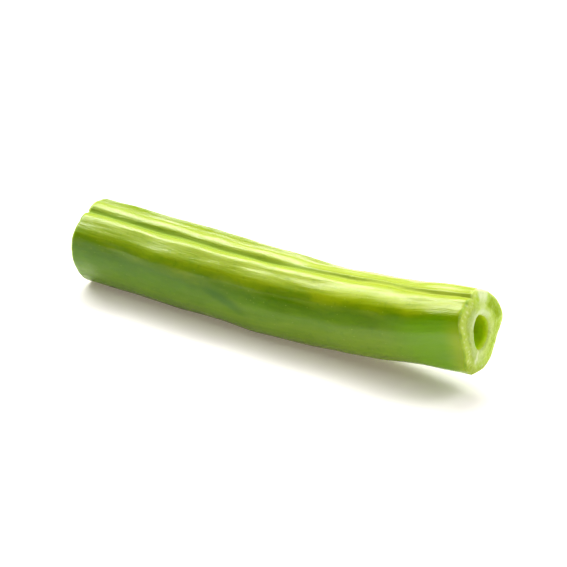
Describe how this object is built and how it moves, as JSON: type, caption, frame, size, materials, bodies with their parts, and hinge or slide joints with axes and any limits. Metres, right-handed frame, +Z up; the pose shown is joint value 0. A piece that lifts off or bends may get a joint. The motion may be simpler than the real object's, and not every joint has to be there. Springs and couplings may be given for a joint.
{
  "type": "cut green bean",
  "caption": "Short length of raw green bean, cut square at each end, with a seam groove on top and a young seed in the chamber at each end. It lies on its back rib.",
  "frame": {"origin": "on the surface that the bean lies on, under the middle of its bounding box", "axes": "+X along the pod to the end that is lifted, +Y across it, +Z up, towards the seam"},
  "size_m": [0.051, 0.0092, 0.0121],
  "materials": {
    "pod": "satin green skin over moist pale green flesh",
    "seed": "moist pale green seed coat"
  },
  "bodies": {
    "root": {"bean_pod": "pod", "seed_right": "seed", "seed_left": "seed"}
  },
  "joints": []
}
